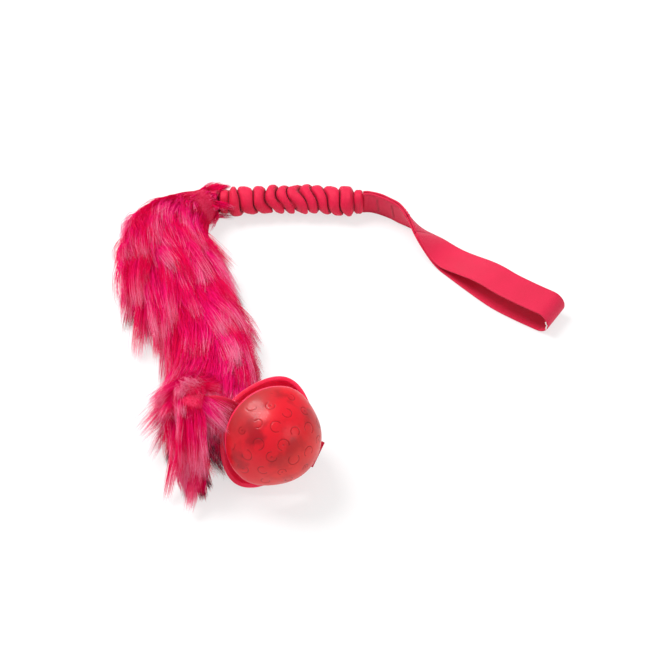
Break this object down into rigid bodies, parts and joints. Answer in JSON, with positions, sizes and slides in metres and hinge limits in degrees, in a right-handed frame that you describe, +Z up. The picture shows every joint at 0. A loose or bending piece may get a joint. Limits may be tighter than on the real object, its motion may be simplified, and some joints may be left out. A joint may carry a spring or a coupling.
{
  "type": "faux fur tug toy",
  "caption": "Faux fur dog tug toy: a furry tail holds a split rubber treat ball on a strap, and a pleated elastic sleeve joins it to a webbing hand loop.",
  "frame": {"origin": "centre of the resting layout's outline on the surface it lies on", "axes": "+X from the fur tail towards the hand loop, along the elastic sleeve; +Y from the ball towards the sleeve; +Z up"},
  "size_m": [0.3204, 0.302, 0.0733],
  "materials": {
    "fur": "long pile, hot pink with pale tips",
    "webbing": "woven, matt",
    "soft_webbing": "soft fine weave",
    "elastic": "braided, matt",
    "thread": "sewn",
    "white_thread": "single loose thread",
    "ball_rubber": "translucent, satin, with shallow relief"
  },
  "bodies": {
    "tail": {"fur_tail": "fur", "core_strap": "webbing", "fur_tail_tack": "thread", "fur_fold": "fur", "core_strap_fold": "webbing"},
    "tail_top": {"fur_top": "fur", "core_strap_top": "webbing", "fur_top_tack": "thread", "sleeve_tail_seam": "webbing", "elastic_cord": "elastic", "elastic_sleeve": "webbing"},
    "grip_end": {"sleeve_grip_seam": "webbing", "handle_neck_bend": "soft_webbing"},
    "neck": {"handle_neck": "soft_webbing", "handle_neck_tack_1": "thread", "handle_neck_tack_2": "thread", "handle_loop_bend": "soft_webbing"},
    "grip_loop": {"handle_loop": "soft_webbing", "loose_thread": "white_thread"},
    "ball": {"ball_strap_bend": "webbing", "ball_strap": "webbing", "ball_strap_stop": "webbing", "ball_strap_stop_tack": "thread", "ball_back_half": "ball_rubber", "ball_hinge_web": "ball_rubber"},
    "jaw": {"ball_front_half": "ball_rubber"}
  },
  "joints": [
    {"name": "tail_fold", "type": "hinge", "parent": "tail", "child": "tail_top", "pos_m": [-0.1238, 0.10113, 0.0204], "axis": [0, 0, 1], "range_deg": [-10, 90], "deforming": ["fur_fold", "core_strap_fold"]},
    {"name": "bungee_stretch", "type": "slide", "parent": "tail_top", "child": "grip_end", "axis": [1, 0, 0], "range_m": [0, 0.07], "stiffness_N_per_m": 150, "deforming": ["elastic_sleeve", "elastic_cord"]},
    {"name": "handle_swing", "type": "hinge", "parent": "grip_end", "child": "neck", "pos_m": [0.01909, 0.13676, 0.01322], "axis": [0, 0, 1], "range_deg": [-60, 90], "deforming": ["handle_neck_bend"]},
    {"name": "loop_lift", "type": "hinge", "parent": "neck", "child": "grip_loop", "pos_m": [0.05615, 0.11053, 0.01117], "axis": [-0.7638, -0.6454, 0], "range_deg": [0, 90], "deforming": ["handle_loop_bend"]},
    {"name": "ball_swing", "type": "hinge", "parent": "tail", "child": "ball", "pos_m": [-0.08523, -0.1078, 0.05577], "axis": [0, 0, 1], "range_deg": [-35, 10], "deforming": ["ball_strap_bend"]},
    {"name": "jaw_open", "type": "hinge", "parent": "ball", "child": "jaw", "pos_m": [-0.02036, -0.11929, 0.023], "axis": [0.4352, 0.6372, 0.636], "range_deg": [-6, 35], "stiffness_Nm_per_rad": 0.4, "deforming": ["ball_hinge_web"]}
  ]
}
